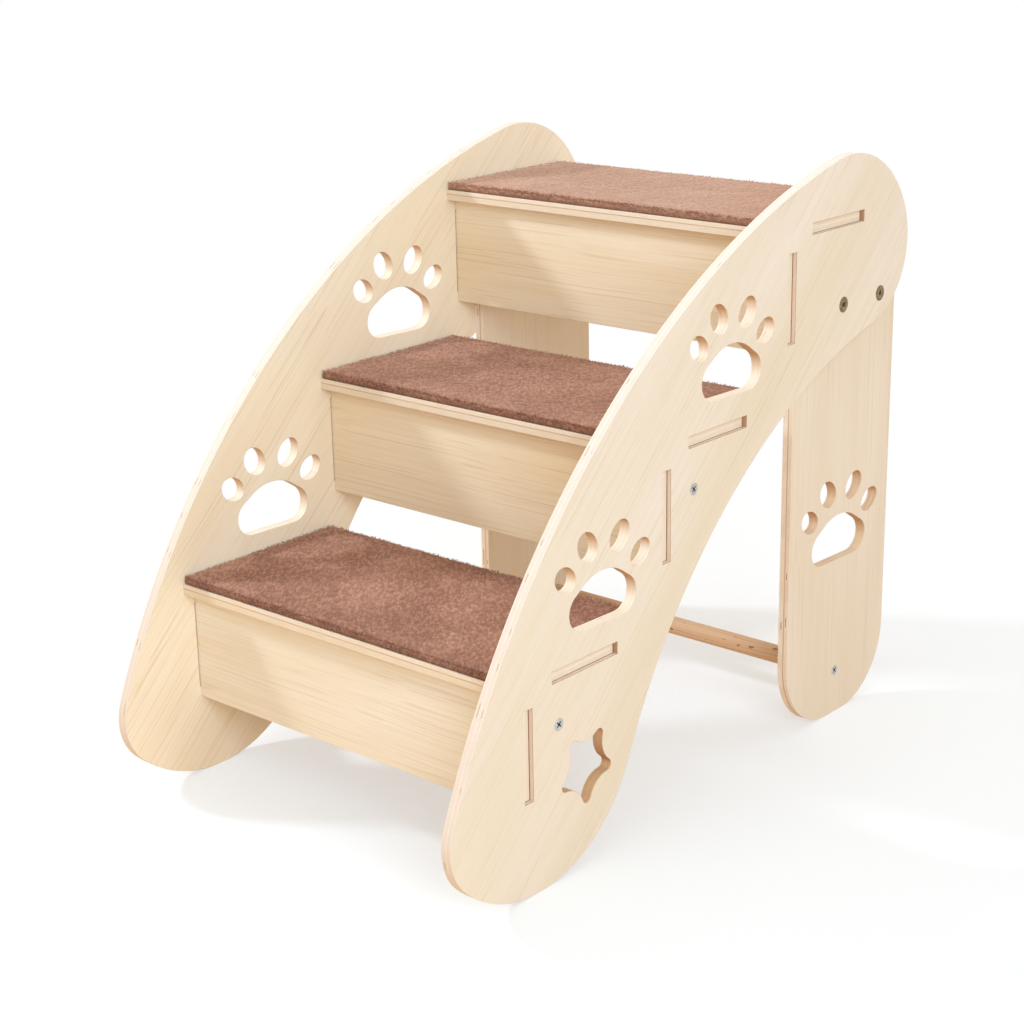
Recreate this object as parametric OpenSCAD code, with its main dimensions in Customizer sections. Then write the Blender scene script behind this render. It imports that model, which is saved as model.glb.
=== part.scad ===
// Three-step pet stairs: two arched plywood sides, two plank legs, carpeted treads.
// X runs across, Y back (the way the stairs climb), Z up.
// The origin is the middle of the footprint, on the floor.

/* [Boards] */
// Clear width between the two side panels
inside_w = 380; // [340:5:440]
// Thickness of each side panel
panel_t = 10; // [9:0.5:12]
// Thickness of each leg plank
leg_t = 10; // [9:0.5:12]
// Thickness of each tread board
tread_t = 10; // [9:0.5:12]
// Thickness of each riser board
riser_t = 10; // [8:0.5:10]

/* [Steps] */
// Top of the bottom tread board above the floor
first_rise = 185.5; // [182:0.5:190]
// Height from one tread to the next
step_rise = 152; // [148:0.5:154]
// Depth from one tread's front edge to the next
step_depth = 180; // [178:0.5:182]
// Front to back depth of each tread board
tread_depth = 184; // [176:0.5:186]
// Height of each riser board below its tread
riser_h = 102; // [96:0.5:108]
// How far each riser's face stands behind its tread's front edge
riser_setback = 12; // [10:0.5:14]

/* [Mortise and tenon joints] */
// Tread front edge to the front of its tenon
tread_tenon_y = 47.5; // [44:0.5:52]
// Length of a tread tenon, front to back
tread_tenon_l = 82; // [70:0.5:86]
// Riser top edge to the top of its tenon
riser_tenon_z = 12; // [8:0.5:14]
// Height of a riser tenon
riser_tenon_h = 80; // [70:0.5:84]
// Play between a tenon and its mortise, each way
mortise_fit = 0.4; // [0.2:0.1:0.6]
// Extra play at the back end of each tread mortise
mortise_slack = 0.6; // [0.2:0.1:1.6]
// How far tenon ends stop below the panel's outer face
tenon_recess = 4; // [0.5:0.5:5]

/* [Side panel outline] */
// Radius of the long front curve
front_r = 729.5; // [720:0.5:740]
// Radius over the top of the head
head_top_r = 102; // [98:0.5:106]
// Centre of the head's top curve behind the top tread's front edge
head_top_y = 109.6; // [107:0.2:112]
// Centre of the head's top curve below the top tread's top
head_top_drop = 49.4; // [47:0.2:52]
// Radius behind the head
head_back_r = 73; // [70:0.5:76]
// Direction from the head's top centre to its back centre, degrees
head_back_turn = 27; // [24:0.5:30]
// Radius of the long hollow curve at the back
rear_r = 535.5; // [520:0.5:550]
// Radius under the foot
foot_r = 126.5; // [123:0.5:130]
// Depth of the flat planed under each foot
foot_flat = 0.4; // [0.2:0.1:0.8]
// Radius at the toe of the foot
toe_r = 53; // [48:0.5:58]
// Centre of the toe curve in front of the bottom tread's front edge
toe_front = 22.6; // [20:0.2:25]
// Height of the toe curve's centre above the floor
toe_rise = 74; // [71:0.5:77]

/* [Legs] */
// Width of each leg plank, front to back
leg_w = 168; // [160:1:170]
// Leg front edge behind the top tread's front edge
leg_setback = 37.5; // [37:0.5:40]
// Space between a leg's top and the underside of the top tread
leg_top_gap = 33.5; // [24:0.5:42]
// Length of the flat under each leg, between its two round corners
leg_flat = 26; // [16:1:60]
// Radius of the leg's two top corners
leg_top_r = 24; // [12:1:34]

/* [Rods] */
// Diameter of the tie rods and the leg stretcher
rod_d = 18; // [16:0.5:20]
// Tie rod centre behind its tread's front edge
tie_rod_y = 55; // [50:0.5:60]
// Tie rod centre below its tread's top
tie_rod_drop = 47; // [40:0.5:54]
// Leg stretcher centre above the floor
stretcher_z = 43.5; // [36:0.5:60]

/* [Paw cut-outs] */
// Middle of the lower paw's pad behind the bottom step's front edge
bottom_paw_y = 112.5; // [109:0.5:115]
// Middle of the upper paw's pad behind the middle step's front edge
middle_paw_y = 108; // [105:0.5:111]
// Middle of a step's paw pad above that step's tread board
paw_z = 45.7; // [43:0.1:48]
// Backward lean of every paw, degrees
paw_lean = 1.3; // [0:0.1:3]
// Middle of the leg's paw pad above the floor
leg_paw_z = 180; // [160:1:200]
// Width of a leg's paw, as a multiple of a side panel's paw
leg_paw_widening = 1.07; // [1:0.01:1.1]
// Half width of the pad's two lower lobes, middle to lobe centre
pad_lobe_y = 26.3; // [25:0.1:28]
// Radius of the pad's lower lobes
pad_lobe_r = 16.7; // [15:0.1:17.5]
// Radius over the top of the pad
pad_top_r = 45; // [40:0.5:48]
// Height of the pad
pad_h = 45; // [44:0.5:47]
// Inner toe centre from the paw's middle line
inner_toe_y = 20.5; // [19.5:0.5:22]
// Inner toe centre above the pad's middle
inner_toe_z = 46; // [45:0.5:48]
// Long radius of an inner toe
inner_toe_long = 14.4; // [13.6:0.1:15.2]
// Short radius of an inner toe
inner_toe_short = 11.5; // [10.6:0.1:12.4]
// Outward lean of an inner toe, degrees
inner_toe_lean = 40; // [25:1:50]
// Outer toe centre from the paw's middle line
outer_toe_y = 48; // [47:0.5:50]
// Outer toe centre above the pad's middle
outer_toe_z = 25.5; // [24:0.5:27]
// Long radius of an outer toe
outer_toe_long = 13.6; // [12.6:0.1:14.4]
// Short radius of an outer toe
outer_toe_short = 10.5; // [9.6:0.1:11.4]
// Outward lean of an outer toe, degrees
outer_toe_lean = 60; // [45:1:70]

/* [Star cut-out] */
// Star centre behind the bottom tread's front edge
star_y = 89.5; // [86:0.5:94]
// Star centre above the floor
star_z = 89.5; // [84:0.5:94]
// Star reach from its centre to each rounded point
star_reach = 33; // [31:0.5:35]
// Radius of the star's rounded points
star_tip_r = 5.2; // [4.4:0.2:6]
// Distance from the star's centre to each hollow between two points
star_hollow = 22.6; // [21.6:0.2:23.6]

/* [Wood screws] */
// Shank diameter
screw_d = 5; // [4:0.5:5.5]
// Head diameter
screw_head_d = 11; // [10:0.5:12]
// Depth of the countersunk head
screw_head_h = 3; // [2.5:0.1:3.5]
// Whole length
screw_l = 40; // [34:1:50]
// Length of the pointed end
screw_point_l = 6; // [4:0.5:8]
// Width of each arm of the cross recess
screw_cross_w = 1.3; // [1:0.1:1.6]
// Span of the cross recess
screw_cross_l = 6; // [5:0.5:7]
// Depth of the cross recess
screw_cross_h = 1.6; // [1:0.1:2]
// Play round the screws in the boards, across the diameter
screw_fit = 0.4; // [0.2:0.1:0.8]

/* [Leg bolts and cap nuts] */
// Distance between the two bolts of a leg
bolt_gap = 62; // [56:1:70]
// Middle of the bolt pair behind the leg's middle line
bolt_offset = 10.5; // [4:0.5:12]
// Bolt height above the floor
bolt_z = 408; // [400:1:412]
// Bolt shank diameter
bolt_d = 6; // [5:0.5:6.5]
// Bolt and cap nut flange diameter
bolt_head_d = 14; // [13:0.5:16]
// Bolt and cap nut flange thickness
bolt_head_h = 2; // [1.6:0.1:2.4]
// Width across the flats of the key socket
bolt_key_w = 4; // [3:0.5:5]
// Depth of the key socket
bolt_key_h = 1.4; // [1:0.1:1.5]
// Outside diameter of the cap nut's sleeve
nut_sleeve_d = 9; // [8.5:0.5:10]
// Length of the cap nut's sleeve
nut_sleeve_l = 9; // [6:0.5:10]
// Play round the bolts and sleeves in the boards, across the diameter
bolt_fit = 0.4; // [0.2:0.1:0.6]
// Space left between a bolt's end and the bottom of its cap nut
bolt_tip_fit = 1; // [0.4:0.1:2]

/* [Carpet pads] */
// Height of the carpet pads
carpet_h = 8; // [4:0.5:12]
// Play between a carpet pad and each side panel
carpet_side_fit = 0.8; // [0.5:0.1:2]
// How far a carpet pad reaches past its tread's front edge
carpet_nose = 1.5; // [0:0.5:3]
// How far the top carpet pad stops short of its tread's back edge
top_carpet_short = 12; // [0:1:20]

/* [Hidden] */
$fn = 96;

// One overrun serves every cut that must break through a face.
overrun = panel_t / 5;
// How far the straight pieces of a sampled curve may stray from the true arc.
arc_sag = panel_t / 200;
star_points = 5;
star_step = 360 / star_points;
star_half = star_step / 2;
hex_sides = 6;
hex_half = 180 / hex_sides;

// Steps counted from the floor, the bottom one being number zero.
step_count = 3;
bottom = 0;
top = step_count - 1;
middle = top / 2;
function step_y(k) = k * step_depth;
function step_z(k) = first_rise + k * step_rise;

// Faces across the width, for the right side; the left side is mirrored.
inner_x = inside_w / 2;
outer_x = inner_x + panel_t;
leg_inner_x = inner_x - leg_t;

// Directions and arcs in the plane of a side panel, as [depth, height].
function heading(a) = [cos(a), sin(a)];
function turn_of(v) = atan2(v[1], v[0]);
function arc(c, r, from, to) =
    let(pieces = ceil(abs(to - from) / (2 * acos(1 - arc_sag / r))))
    [for (i = [0:pieces]) c + r * heading(from + (to - from) * i / pieces)];
// Joins curves that each start where the one before ends.
function chain(curves) = [for (c = curves) for (i = [0:len(c) - 2]) c[i]];

// The point at two given distances from two others, on the left going from a to b.
function meet(a, b, from_a, from_b) =
    let(
        span = norm(b - a),
        along = (span ^ 2 + from_a ^ 2 - from_b ^ 2) / (2 * span),
        side = sqrt(from_a ^ 2 - along ^ 2),
        axis = (b - a) / span
    )
    a + along * axis + side * [-axis[1], axis[0]];

// The panel's outline is a ring of six arcs, each tangent to the next. The head
// follows the top step and the toe the bottom step; the foot is planed flat on the floor.
head_top_c = [step_y(top) + head_top_y, step_z(top) - head_top_drop];
head_back_c = head_top_c + (head_top_r - head_back_r) * heading(head_back_turn);
toe_c = [step_y(bottom) - toe_front, toe_rise];
foot_z = foot_r - foot_flat;
foot_c = [toe_c[0] + sqrt((foot_r - toe_r) ^ 2 - (foot_z - toe_rise) ^ 2), foot_z];
// The front curve runs round the toe and the head from outside; the hollow curve at
// the back touches the head and the foot.
front_c = meet(head_top_c, toe_c, front_r - head_top_r, front_r - toe_r);
rear_c = meet(head_back_c, foot_c, rear_r + head_back_r, rear_r + foot_r);

full_turn = 360;
half_turn = 180;
down = -90;
head_turn = turn_of(head_top_c - front_c);
rear_turn = turn_of(rear_c - head_back_c);
foot_turn = turn_of(foot_c - rear_c);
foot_end = turn_of(toe_c - foot_c);
toe_end = turn_of(toe_c - front_c);
flat_half = acos(1 - foot_flat / foot_r);
flat_back = foot_c + foot_r * heading(down + flat_half);
flat_front = foot_c + foot_r * heading(down - flat_half);
panel_ring = chain([
    arc(front_c, front_r, toe_end, head_turn),
    arc(head_top_c, head_top_r, head_turn, head_back_turn),
    arc(head_back_c, head_back_r, head_back_turn, rear_turn),
    arc(rear_c, rear_r, rear_turn + half_turn, foot_turn),
    arc(foot_c, foot_r, foot_turn - half_turn, down + flat_half),
    [flat_back, flat_front],
    arc(foot_c, foot_r, down - flat_half, foot_end),
    arc(toe_c, toe_r, foot_end, toe_end - full_turn),
]);

leg_y = step_y(top) + leg_setback;
leg_mid = leg_y + leg_w / 2;
leg_h = step_z(top) - tread_t - leg_top_gap;
leg_bottom_r = (leg_w - leg_flat) / 2;
bolt_mid = leg_mid + bolt_offset;

// The footprint runs from the frontmost to the rearmost edge of any piece.
panel_ys = [for (p = panel_ring) p[0]];
front_edge = min(min(panel_ys), -carpet_nose);
back_edge = max(max(panel_ys), leg_y + leg_w);
y_mid = (front_edge + back_edge) / 2;

// Tread and riser joints, seen from the tread's front top edge.
tenon_span = inside_w + 2 * (panel_t - tenon_recess);
riser_top_z = -tread_t;
riser_tenon_top_z = riser_top_z - riser_tenon_z;

// The cut-outs' arcs.
star_tip_at = star_reach - star_tip_r;
star_hollow_r = (star_tip_at ^ 2 + star_hollow ^ 2 - star_tip_r ^ 2
    - 2 * star_tip_at * star_hollow * cos(star_half))
    / (2 * (star_tip_r - star_hollow + star_tip_at * cos(star_half)));
star_hollow_at = star_hollow + star_hollow_r;
star_bend = turn_of(star_hollow_at * heading(star_half) - [star_tip_at, 0]);
pad_top_c = [0, pad_h / 2 - pad_top_r];
pad_lobe_c = [pad_lobe_y, pad_lobe_r - pad_h / 2];
pad_reach = pad_lobe_c - pad_top_c;
pad_turn = turn_of(pad_reach) + acos((pad_top_r - pad_lobe_r) / norm(pad_reach));

paw_ys = [bottom_paw_y, middle_paw_y];

bolt_l = panel_t + leg_t - bolt_head_h - bolt_tip_fit;
bolt_ys = [bolt_mid - bolt_gap / 2, bolt_mid + bolt_gap / 2];

birch = [0.94, 0.87, 0.76];
birch_leg = [0.91, 0.82, 0.70];
pine = [0.93, 0.81, 0.64];
dowel = [0.84, 0.70, 0.53];
carpet_brown = [0.60, 0.42, 0.34];
zinc = [0.75, 0.76, 0.78];
bronze = [0.46, 0.39, 0.31];

module layout() {
    translate([0, -y_mid, 0]) children();
}

module both_sides() {
    children();
    mirror([1, 0, 0]) children();
}

// Stands a flat shape, drawn as [depth, height], on edge and gives it thickness.
module upright(x, t) {
    translate([x, 0, 0]) rotate([90, 0, 90]) linear_extrude(height = t) children();
}

// Lays a piece drawn along Z across the width; its top then faces right.
module across(x, y, z) {
    translate([x, y, z]) rotate([0, 90, 0]) children();
}

module star() {
    polygon(chain([
        for (k = [0:star_points - 1])
            let(tip = down + k * star_step, hollow = tip + half_turn)
            for (c = [
                arc(star_tip_at * heading(tip), star_tip_r, tip - star_bend, tip + star_bend),
                arc(star_hollow_at * heading(tip + star_half), star_hollow_r,
                    hollow + star_bend, hollow + star_step - star_bend),
            ]) c
    ]));
}

module lean_oval(y, z, long_r, short_r, lean) {
    translate([y, z]) rotate(-lean) scale([short_r / long_r, 1])
        polygon(chain([arc([0, 0], long_r, 0, full_turn)]));
}

// One pad under four toes, the two inner toes higher than the outer ones.
module paw() {
    rotate(-paw_lean) paw_shape();
}

module paw_shape() {
    polygon(concat(
        arc(pad_lobe_c, pad_lobe_r, down, pad_turn),
        arc(pad_top_c, pad_top_r, pad_turn, half_turn - pad_turn),
        arc([-pad_lobe_c[0], pad_lobe_c[1]], pad_lobe_r, half_turn - pad_turn, half_turn - down)
    ));
    for (side = [-1, 1]) {
        lean_oval(side * inner_toe_y, inner_toe_z, inner_toe_long, inner_toe_short,
            side * inner_toe_lean);
        lean_oval(side * outer_toe_y, outer_toe_z, outer_toe_long, outer_toe_short,
            side * outer_toe_lean);
    }
}

// A mortise is open a little above its tenon and behind it; the tenon bears on its floor.
module tread_mortise() {
    translate([tread_tenon_y - mortise_fit, -tread_t])
        square([tread_tenon_l + 2 * mortise_fit + mortise_slack, tread_t + mortise_fit]);
}

module riser_mortise() {
    translate([riser_setback - mortise_fit, riser_tenon_top_z - riser_tenon_h])
        square([riser_t + 2 * mortise_fit, riser_tenon_h + mortise_fit]);
}

// A countersunk wood screw, its head's face at the origin, pointing down.
module screw_body() {
    rotate_extrude() polygon([
        [0, 0],
        [screw_head_d / 2, 0],
        [screw_d / 2, -screw_head_h],
        [screw_d / 2, screw_point_l - screw_l],
        [0, -screw_l],
    ]);
}

module screw() {
    difference() {
        screw_body();
        for (turn = [45, 135])
            rotate(turn) translate([-screw_cross_l / 2, -screw_cross_w / 2, -screw_cross_h])
                cube([screw_cross_l, screw_cross_w, screw_cross_h + overrun]);
    }
}

// The way through a board for a screw, with a seat for its head.
module screw_way(t) {
    rotate_extrude() polygon([
        [0, overrun],
        [screw_head_d / 2, overrun],
        [screw_head_d / 2, 0],
        [screw_d / 2, -screw_head_h],
        [0, -screw_head_h],
    ]);
    translate([0, 0, -t - overrun]) cylinder(d = screw_d + screw_fit, h = t + overrun);
}

module tie_seat(k) {
    translate([0, step_y(k) + tie_rod_y, step_z(k) - tie_rod_drop]) children();
}

module stretcher_seat() {
    translate([0, leg_mid, stretcher_z]) children();
}

module side_panel() {
    difference() {
        upright(inner_x, panel_t) difference() {
            polygon(panel_ring);
            for (k = [bottom:top]) translate([step_y(k), step_z(k)]) {
                tread_mortise();
                riser_mortise();
            }
            for (k = [bottom:middle]) translate([step_y(k) + paw_ys[k], step_z(k) + paw_z]) paw();
            translate([star_y, star_z]) star();
        }
        for (k = [bottom:middle]) tie_seat(k) across(outer_x, 0, 0) screw_way(panel_t);
        for (y = bolt_ys) across(inner_x, y, bolt_z) {
            translate([0, 0, -overrun]) cylinder(d = bolt_d + bolt_fit, h = panel_t + 2 * overrun);
            translate([0, 0, panel_t - bolt_head_h])
                cylinder(d = bolt_head_d + bolt_fit, h = bolt_head_h + overrun);
        }
    }
}

module side_panel_right() {
    color(birch) layout() side_panel();
}

module side_panel_left() {
    color(birch) layout() mirror([1, 0, 0]) side_panel();
}

module leg_shape() {
    polygon(concat(
        arc([leg_y + leg_w - leg_bottom_r, leg_bottom_r], leg_bottom_r, down, 0),
        arc([leg_y + leg_w - leg_top_r, leg_h - leg_top_r], leg_top_r, 0, -down),
        arc([leg_y + leg_top_r, leg_h - leg_top_r], leg_top_r, -down, half_turn),
        arc([leg_y + leg_bottom_r, leg_bottom_r], leg_bottom_r, half_turn, half_turn - down)
    ));
}

module leg() {
    difference() {
        upright(leg_inner_x, leg_t) difference() {
            leg_shape();
            translate([leg_mid, leg_paw_z]) scale([leg_paw_widening, 1]) paw();
        }
        stretcher_seat() across(inner_x, 0, 0) screw_way(leg_t);
        for (y = bolt_ys) across(leg_inner_x - overrun, y, bolt_z)
            cylinder(d = nut_sleeve_d + bolt_fit, h = leg_t + 2 * overrun);
    }
}

module leg_right() {
    color(birch_leg) layout() leg();
}

module leg_left() {
    color(birch_leg) layout() mirror([1, 0, 0]) leg();
}

// A tread rests on its riser; a tenon at each end passes through the side panel.
module tread(k) {
    color(birch) layout() translate([0, step_y(k), step_z(k) - tread_t]) {
        translate([-inner_x, 0, 0]) cube([inside_w, tread_depth, tread_t]);
        translate([-tenon_span / 2, tread_tenon_y, 0])
            cube([tenon_span, tread_tenon_l, tread_t]);
    }
}

module tread_bottom() {
    tread(bottom);
}

module tread_middle() {
    tread(middle);
}

module tread_top() {
    tread(top);
}

module riser(k) {
    color(pine) layout() translate([0, step_y(k) + riser_setback, step_z(k)]) {
        translate([-inner_x, 0, riser_top_z - riser_h]) cube([inside_w, riser_t, riser_h]);
        translate([-tenon_span / 2, 0, riser_tenon_top_z - riser_tenon_h])
            cube([tenon_span, riser_t, riser_tenon_h]);
    }
}

module riser_bottom() {
    riser(bottom);
}

module riser_middle() {
    riser(middle);
}

module riser_top() {
    riser(top);
}

// A carpet pad covers its tread and reaches a little past the front edge; only the top
// one leaves a strip of the tread bare at the back.
module carpet(k) {
    color(carpet_brown) layout()
        translate([carpet_side_fit - inner_x, step_y(k) - carpet_nose, step_z(k)])
            cube([
                inside_w - 2 * carpet_side_fit,
                tread_depth + carpet_nose - (k == top ? top_carpet_short : 0),
                carpet_h,
            ]);
}

module carpet_bottom() {
    carpet(bottom);
}

module carpet_middle() {
    carpet(middle);
}

module carpet_top() {
    carpet(top);
}

// The tie rods butt against the side panels; a screw from outside holds each end.
module tie_rod(k) {
    color(dowel) layout() difference() {
        tie_seat(k) across(-inner_x, 0, 0) cylinder(d = rod_d, h = inside_w);
        both_sides() tie_seat(k) across(outer_x, 0, 0) screw_body();
    }
}

module tie_rod_bottom() {
    tie_rod(bottom);
}

module tie_rod_middle() {
    tie_rod(middle);
}

module leg_stretcher() {
    color(dowel) layout() difference() {
        stretcher_seat() across(-leg_inner_x, 0, 0) cylinder(d = rod_d, h = 2 * leg_inner_x);
        both_sides() stretcher_seat() across(inner_x, 0, 0) screw_body();
    }
}

module tie_screws() {
    color(zinc) layout() both_sides()
        for (k = [bottom:middle]) tie_seat(k) across(outer_x, 0, 0) screw();
}

module stretcher_screws() {
    color(zinc) layout() both_sides() stretcher_seat() across(inner_x, 0, 0) screw();
}

// The bolt heads lie flush in the side panels; their ends turn into the cap nuts.
module leg_bolts() {
    color(bronze) layout() both_sides() for (y = bolt_ys) across(outer_x, y, bolt_z) difference() {
        union() {
            translate([0, 0, -bolt_head_h]) cylinder(d = bolt_head_d, h = bolt_head_h);
            translate([0, 0, -bolt_head_h - bolt_l]) cylinder(d = bolt_d, h = bolt_head_h + bolt_l);
        }
        translate([0, 0, -bolt_key_h])
            cylinder(d = bolt_key_w / cos(hex_half), h = bolt_key_h + overrun, $fn = hex_sides);
    }
}

module leg_cap_nuts() {
    color(bronze) layout() both_sides() for (y = bolt_ys) across(leg_inner_x, y, bolt_z) difference() {
        union() {
            translate([0, 0, -bolt_head_h]) cylinder(d = bolt_head_d, h = bolt_head_h);
            cylinder(d = nut_sleeve_d, h = nut_sleeve_l);
        }
        cylinder(d = bolt_d, h = nut_sleeve_l + overrun);
    }
}

side_panel_left();
side_panel_right();
leg_left();
leg_right();
tread_bottom();
tread_middle();
tread_top();
riser_bottom();
riser_middle();
riser_top();
carpet_bottom();
carpet_middle();
carpet_top();
tie_rod_bottom();
tie_rod_middle();
leg_stretcher();
tie_screws();
stretcher_screws();
leg_bolts();
leg_cap_nuts();
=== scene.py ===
# %% [markdown]
# # Pet stairs: wood, carpet and light
# A small flight of three carpeted steps stands between two arched plywood panels. Two
# plank legs hold up its back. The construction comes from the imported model, in metres,
# so every piece below is dressed where it already stands: nothing is moved.

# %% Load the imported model
import math
import random

import bpy
import numpy as np
from mathutils import Matrix, Vector


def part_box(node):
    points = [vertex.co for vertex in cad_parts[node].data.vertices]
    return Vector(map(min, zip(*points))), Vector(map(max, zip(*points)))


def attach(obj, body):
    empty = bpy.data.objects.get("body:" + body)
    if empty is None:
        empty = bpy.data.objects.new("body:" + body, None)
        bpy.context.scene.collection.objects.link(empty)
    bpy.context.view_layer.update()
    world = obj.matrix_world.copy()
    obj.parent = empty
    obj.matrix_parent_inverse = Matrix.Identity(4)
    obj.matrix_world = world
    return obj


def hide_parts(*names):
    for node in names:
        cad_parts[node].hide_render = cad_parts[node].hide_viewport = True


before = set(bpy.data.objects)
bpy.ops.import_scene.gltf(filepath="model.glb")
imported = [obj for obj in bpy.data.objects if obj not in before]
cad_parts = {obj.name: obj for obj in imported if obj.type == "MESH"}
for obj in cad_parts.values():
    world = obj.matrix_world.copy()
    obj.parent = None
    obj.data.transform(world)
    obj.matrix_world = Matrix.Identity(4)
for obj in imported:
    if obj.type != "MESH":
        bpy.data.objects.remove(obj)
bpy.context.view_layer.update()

MM = 0.001
WHOLE_BODY = "root"

# %% [markdown]
# ## The camera
# The photograph looks at the stairs from the front right, from a little above the top
# step, with a long lens. Place, turn and lens were worked out from the corners of the
# treads, the slots and the cut-outs, so the picture's edges are the photograph's edges.

# %% Camera
camera_at = Vector((1157.8, -1331.7, 805.8)) * MM
camera_turn = [math.radians(a) for a in (71.853, 1.101, 40.982)]
bpy.ops.object.camera_add(location=camera_at, rotation=camera_turn)
camera = bpy.context.object
camera.name = "photo_camera"
camera.data.sensor_width = 36.0
camera.data.lens = 71.42
bpy.context.scene.camera = camera
bpy.context.scene.view_settings.view_transform = "Standard"
print("camera", round(camera_at.length, 3), "m from the middle of the footprint")

# %% [markdown]
# ## Colours and nodes
# A colour picked from a photograph is an sRGB value, while a shader wants linear light.
# One function turns one into the other, and one function adds a node, fills in its
# settings and plugs in its links, so each material reads like a short recipe.

# %% Helpers for materials
def linear(hex_colour):
    # The sRGB curve: a straight piece near black, and a power of 2.4 above it.
    channels = [int(hex_colour[i:i + 2], 16) / 255 for i in (1, 3, 5)]
    bent = [c / 12.92 if c <= 0.04045 else ((c + 0.055) / 1.055) ** 2.4 for c in channels]
    return (*bent, 1.0)


def grey(v):
    return (v, v, v, 1.0)


def add(tree, kind, settings=None, links=None):
    # A setting is a socket's value where the node has such a socket, else a property.
    made = tree.nodes.new("ShaderNode" + kind)
    for key, value in (settings or {}).items():
        if isinstance(key, int) or key in made.inputs:
            made.inputs[key].default_value = value
        else:
            setattr(made, key, value)
    for socket, source in (links or {}).items():
        tree.links.new(source, made.inputs[socket])
    return made


def new_material(name):
    material = bpy.data.materials.new(name)
    material.use_nodes = True
    material.node_tree.nodes.clear()
    return material, material.node_tree


def set_ramp(ramp, stops):
    marks = ramp.color_ramp.elements
    while len(marks) < len(stops):
        marks.new(0.5)
    for mark, (place, colour) in zip(marks, stops):
        mark.position = place
        mark.color = colour


print("sRGB #808080 in linear light:", round(linear("#808080")[0], 3))

# %% [markdown]
# ## The studio
# The floor is a disc of white paper. Light Path tells a ray that the camera sees from
# one that carries light to the stairs. So the paper is a clean page for the camera, while
# the underside of the steps gets back the dim, warm tone of wood on wood, and not the
# glare of a white floor. Further out, where the lamps no longer reach, the paper turns to
# plain white for the camera. The soft shadow of the stairs stays on it.

# %% Floor
PAGE = (0.94, 0.98, 1.0, 1.0)
BOUNCE = (0.83, 0.59, 0.37, 1.0)
FADE_FROM, FADE_TO = 0.30, 1.25


def seen_by_camera(tree):
    # 1 for what the camera sees, also in metal and through glass, and 0 for light.
    path = add(tree, "LightPath")
    seen = add(tree, "Math", {"operation": "MAXIMUM"},
               {0: path.outputs["Is Camera Ray"], 1: path.outputs["Is Glossy Ray"]})
    seen = add(tree, "Math", {"operation": "MAXIMUM"},
               {0: seen.outputs[0], 1: path.outputs["Is Transmission Ray"]})
    return seen.outputs[0]


bpy.ops.object.select_all(action="DESELECT")
bpy.ops.mesh.primitive_circle_add(vertices=96, radius=14, fill_type="NGON")
floor = bpy.context.object
floor.name = "floor"
paper, tree = new_material("studio_paper")
seen = seen_by_camera(tree)
shade = add(tree, "Mix", {"data_type": "RGBA", 6: BOUNCE, 7: PAGE}, {0: seen})
skin = add(tree, "BsdfDiffuse", {}, {"Color": shade.outputs[2]})
place = add(tree, "TexCoord")
radius = add(tree, "VectorMath", {"operation": "LENGTH"}, {0: place.outputs["Object"]})
page = add(tree, "MapRange",
           {"interpolation_type": "SMOOTHSTEP", 1: FADE_FROM, 2: FADE_TO, 3: 0.50, 4: 1.0},
           {0: radius.outputs["Value"]})
share = add(tree, "Math", {"operation": "MULTIPLY"}, {0: seen, 1: page.outputs[0]})
white = add(tree, "Emission", {"Color": grey(1.0), "Strength": 1.0})
both = add(tree, "MixShader", {},
           {0: share.outputs[0], 1: skin.outputs[0], 2: white.outputs[0]})
add(tree, "OutputMaterial", {}, {"Surface": both.outputs[0]})
floor.data.materials.append(paper)
print("floor disc", floor.dimensions.x, "m across")

# %% [markdown]
# ## The light
# The photograph is lit by soft lamps. One at the left and in front draws a slanting
# shadow of the far panel on the upper risers, a large one at the right fills the near
# panel, and one overhead makes the top carpet the brightest. The room itself gives more
# than half of the light. The room is warm and the lamps are a little cool: on a lit face
# the two cancel out, so that a colour shows about as it is written, and the shade inside
# the stairs keeps the warmth that it has in the photograph.

# %% World and lamps
ROOM_COLOUR = (0.99, 0.865, 0.70, 1.0)
ROOM_LEVEL = 0.67
AIM = Vector((0, 0, 0.27))
# Each lamp's direction from the stairs, its distance and width in metres, its level, on
# which 1 alone shows a white board that faces the lamp as white, and its colour.
LAMPS = {
    "key_lamp": ((-0.78, -0.34, 0.52), 3.2, 0.42, 0.53, (0.89, 1.0, 1.13)),
    "fill_lamp": ((0.79, -0.52, 0.39), 3.0, 1.6, 0.48, (0.79, 1.0, 1.21)),
    "top_lamp": ((0.10, 0.15, 1.0), 1.4, 0.8, 0.27, (0.90, 1.0, 1.14)),
}

world = bpy.data.worlds.new("studio")
bpy.context.scene.world = world
world.use_nodes = True
tree = world.node_tree
tree.nodes.clear()
seen = seen_by_camera(tree)
strength = add(tree, "MapRange", {3: ROOM_LEVEL, 4: 1.0}, {0: seen})
air = add(tree, "Mix", {"data_type": "RGBA", 6: ROOM_COLOUR, 7: grey(1.0)}, {0: seen})
sky = add(tree, "Background", {},
          {"Color": air.outputs[2], "Strength": strength.outputs[0]})
add(tree, "OutputWorld", {}, {"Surface": sky.outputs[0]})

for name, (direction, distance, width, level, colour) in LAMPS.items():
    way = Vector(direction).normalized()
    bpy.ops.object.light_add(type="AREA", location=AIM + way * distance,
                             rotation=way.to_track_quat("Z", "Y").to_euler())
    lamp = bpy.context.object
    lamp.name = name
    lamp.data.shape = "DISK"
    lamp.data.size = width
    lamp.data.energy = level * math.pi ** 2 * distance ** 2
    lamp.data.color = colour
    print(name, round(lamp.data.energy, 1), "W")

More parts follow.
